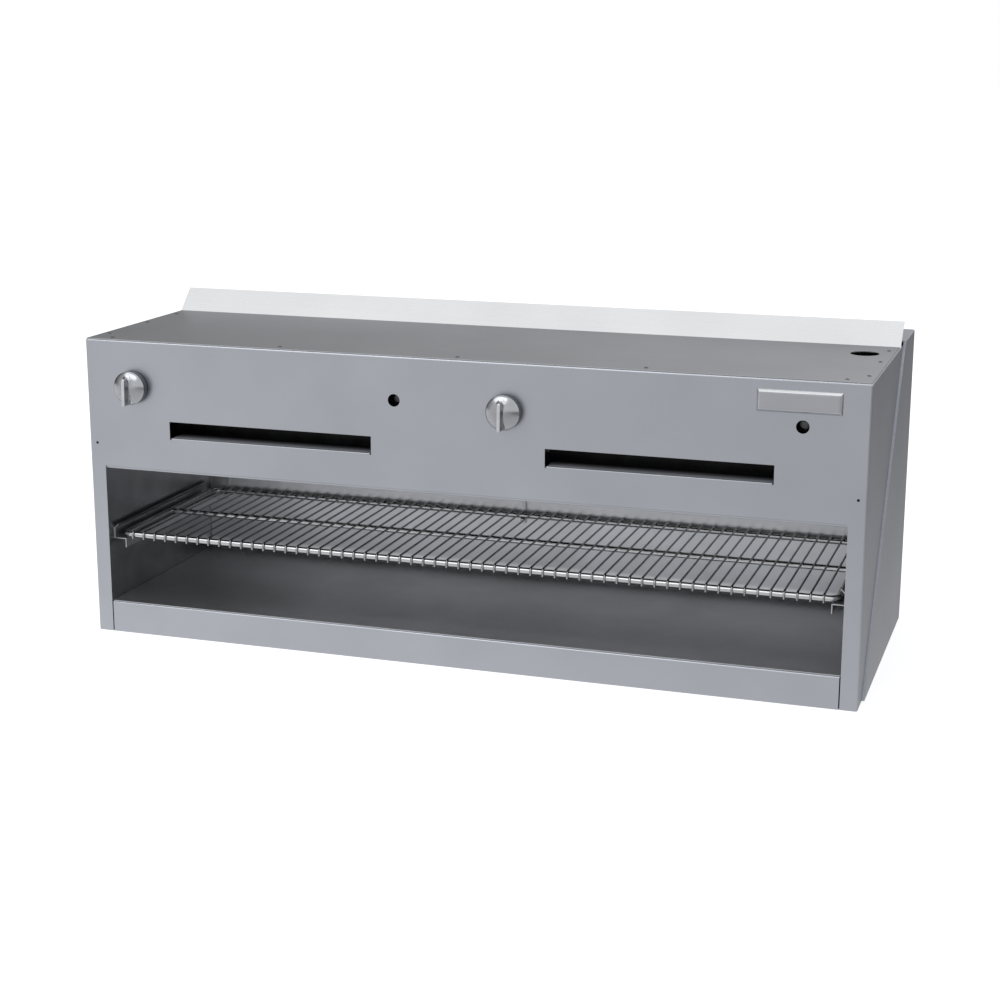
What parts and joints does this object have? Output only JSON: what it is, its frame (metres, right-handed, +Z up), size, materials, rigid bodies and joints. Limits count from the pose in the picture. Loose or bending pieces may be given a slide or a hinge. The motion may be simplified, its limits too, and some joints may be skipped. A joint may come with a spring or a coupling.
{
  "type": "cheese melter",
  "caption": "Long countertop gas cheese melter: open-fronted steel cabinet, sliding wire rack, infrared burners behind a slotted front with knobs, leaning flue riser.",
  "frame": {"origin": "middle of the footprint, at the height of the counter it stands on", "axes": "+X to the right seen from the front, +Y to the back, +Z up"},
  "size_m": [1.2272, 0.5134, 0.511],
  "materials": {
    "panel_steel": "brushed stainless sheet, fine grain along its length",
    "riser_steel": "bright rolled stainless sheet",
    "casing_steel": "matt rolled steel sheet",
    "liner_steel": "brushed stainless sheet, slightly heat toned",
    "galvanised_steel": "zinc coated steel sheet",
    "runner_steel": "pressed stainless strip",
    "rack_chrome": "bright nickel-chrome plated rod",
    "knob_metal": "die-cast, satin polished",
    "plate_metal": "satin plate with bevelled edges, bare",
    "screw_steel": "zinc plated pan heads",
    "brass_fittings": "turned brass",
    "pipe_iron": "black mill scale",
    "tube_aluminium": "drawn tube",
    "burner_steel": "aluminised steel, heat dulled",
    "screen_steel": "perforated heat resistant sheet",
    "tile_ceramic": "porous cordierite"
  },
  "bodies": {
    "cabinet": {"base_pan": "galvanised_steel", "burner_box_left": "burner_steel", "burner_box_right": "burner_steel", "burner_rail_front": "galvanised_steel", "burner_rail_rear": "galvanised_steel", "burner_screen_left": "screen_steel", "burner_screen_right": "screen_steel", "cavity_floor_and_back": "liner_steel", "cavity_wall_left": "liner_steel", "cavity_wall_right": "liner_steel", "ceramic_tiles_left": "tile_ceramic", "ceramic_tiles_right": "tile_ceramic", "flue_baffle": "burner_steel", "flue_riser": "riser_steel", "front_panel": "panel_steel", "gas_inlet_coupling": "pipe_iron", "gas_manifold": "pipe_iron", "gas_valve_left": "brass_fittings", "gas_valve_right": "brass_fittings", "heat_shield": "burner_steel", "lower_front_rail": "panel_steel", "manifold_cap": "pipe_iron", "manifold_saddles": "galvanised_steel", "mixing_tube_left": "burner_steel", "mixing_tube_right": "burner_steel", "name_plate": "plate_metal", "orifice_hood_left": "brass_fittings", "orifice_hood_right": "brass_fittings", "panel_screws": "screw_steel", "pilot_burner_left": "burner_steel", "pilot_burner_right": "burner_steel", "pilot_tube_left": "tube_aluminium", "pilot_tube_right": "tube_aluminium", "pilot_valve_left": "brass_fittings", "pilot_valve_right": "brass_fittings", "rack_guide_left": "runner_steel", "rack_guide_right": "runner_steel", "rear_casing": "casing_steel", "rear_rack_hooks": "runner_steel", "side_panel_left": "panel_steel", "side_panel_right": "panel_steel", "splice_plate_left": "galvanised_steel", "splice_plate_right": "galvanised_steel", "stile_screws": "screw_steel", "top_cover": "panel_steel"},
    "rack": {"rack_frame": "rack_chrome", "rack_wires": "rack_chrome"},
    "knob_left": {"knob_left": "knob_metal", "valve_stem_left": "brass_fittings"},
    "knob_right": {"knob_right": "knob_metal", "valve_stem_right": "brass_fittings"},
    "pilot_screw_left": {"pilot_screw_left": "brass_fittings"},
    "pilot_screw_right": {"pilot_screw_right": "brass_fittings"}
  },
  "joints": [
    {"name": "rack_slide", "type": "slide", "parent": "cabinet", "child": "rack", "axis": [0, -1, 0], "range_m": [0, 0.25]},
    {"name": "knob_left_turn", "type": "hinge", "parent": "cabinet", "child": "knob_left", "pos_m": [-0.5294, -0.22325, 0.403], "axis": [0, -1, 0], "range_deg": [0, 90]},
    {"name": "pilot_screw_left_turn", "type": "hinge", "parent": "cabinet", "child": "pilot_screw_left", "pos_m": [-0.0941, -0.22325, 0.4087], "axis": [0, -1, 0], "range_deg": [0, 360]},
    {"name": "knob_right_turn", "type": "hinge", "parent": "cabinet", "child": "knob_right", "pos_m": [0.0802, -0.22325, 0.403], "axis": [0, -1, 0], "range_deg": [0, 90]},
    {"name": "pilot_screw_right_turn", "type": "hinge", "parent": "cabinet", "child": "pilot_screw_right", "pos_m": [0.5155, -0.22325, 0.4087], "axis": [0, -1, 0], "range_deg": [0, 360]}
  ]
}
